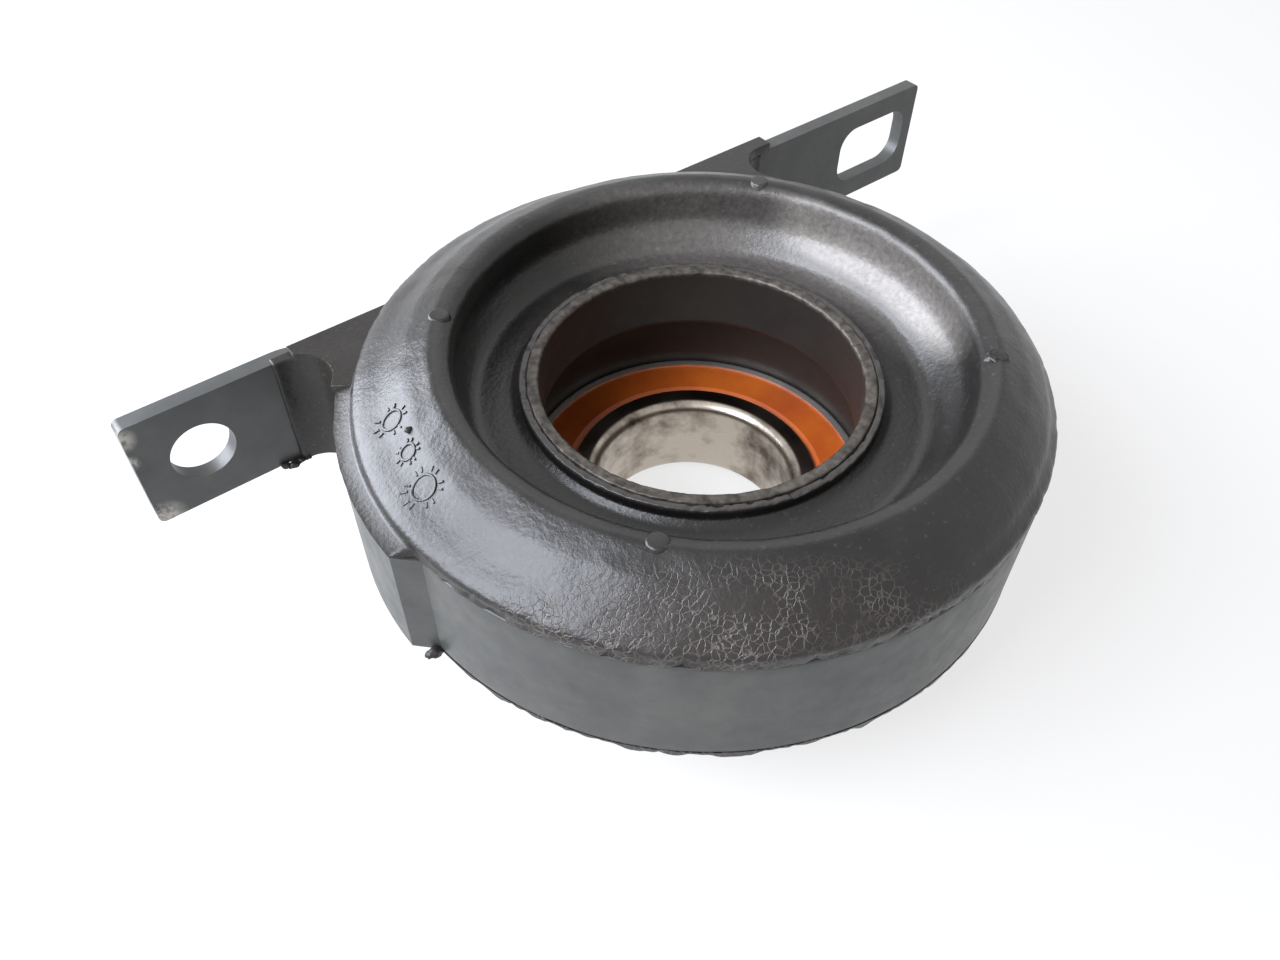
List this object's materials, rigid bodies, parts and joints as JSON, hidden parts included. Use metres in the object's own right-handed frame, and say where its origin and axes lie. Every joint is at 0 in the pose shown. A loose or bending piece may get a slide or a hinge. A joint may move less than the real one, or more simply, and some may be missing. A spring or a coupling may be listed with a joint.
{
  "type": "driveshaft centre bearing",
  "caption": "Sealed ball bearing in a steel hub, held by a rubber cushion in a steel band whose bent ears bolt to the underbody and carry the middle of a shaft.",
  "frame": {"origin": "centre of the bearing's bore, halfway along the bearing", "axes": "+Z along the shaft towards the open collar, +X along the ears towards the slotted ear, +Y towards the face the ears are bolted to"},
  "size_m": [0.1841, 0.1124, 0.0523],
  "materials": {
    "painted_steel": "satin black paint, scuffed to bare metal on the ear's corners",
    "cushion_rubber": "satin moulded rubber with dust and light crackle",
    "sleeve_steel": "dull pressed steel with brown staining",
    "ground_steel": "ground bearing steel",
    "polished_steel": "polished",
    "cage_steel": "pressed sheet",
    "seal_rubber": "satin orange-brown moulded rubber"
  },
  "bodies": {
    "housing": {"band_ring": "painted_steel", "left_bracket": "painted_steel", "right_bracket": "painted_steel", "rubber_cushion": "cushion_rubber", "hub_sleeve": "sleeve_steel", "bearing_outer_ring": "ground_steel", "upper_seal": "seal_rubber", "lower_seal": "seal_rubber"},
    "inner_race": {"bearing_inner_ring": "ground_steel"},
    "ball_cage": {"cage_upper_half": "cage_steel", "cage_lower_half": "cage_steel", "cage_rivets": "cage_steel", "ball_01": "polished_steel", "ball_02": "polished_steel", "ball_03": "polished_steel", "ball_04": "polished_steel", "ball_05": "polished_steel", "ball_06": "polished_steel", "ball_07": "polished_steel", "ball_08": "polished_steel", "ball_09": "polished_steel", "ball_10": "polished_steel", "ball_11": "polished_steel"}
  },
  "joints": [
    {"name": "shaft_spin", "type": "hinge", "parent": "housing", "child": "inner_race", "pos_m": [0, 0, 0], "axis": [0, 0, 1], "continuous": true},
    {"name": "cage_spin", "type": "hinge", "parent": "housing", "child": "ball_cage", "pos_m": [0, 0, 0], "axis": [0, 0, 1], "continuous": true}
  ],
  "couplings": [
    {"joint": "cage_spin", "follows": "shaft_spin", "ratio": 0.41814}
  ]
}
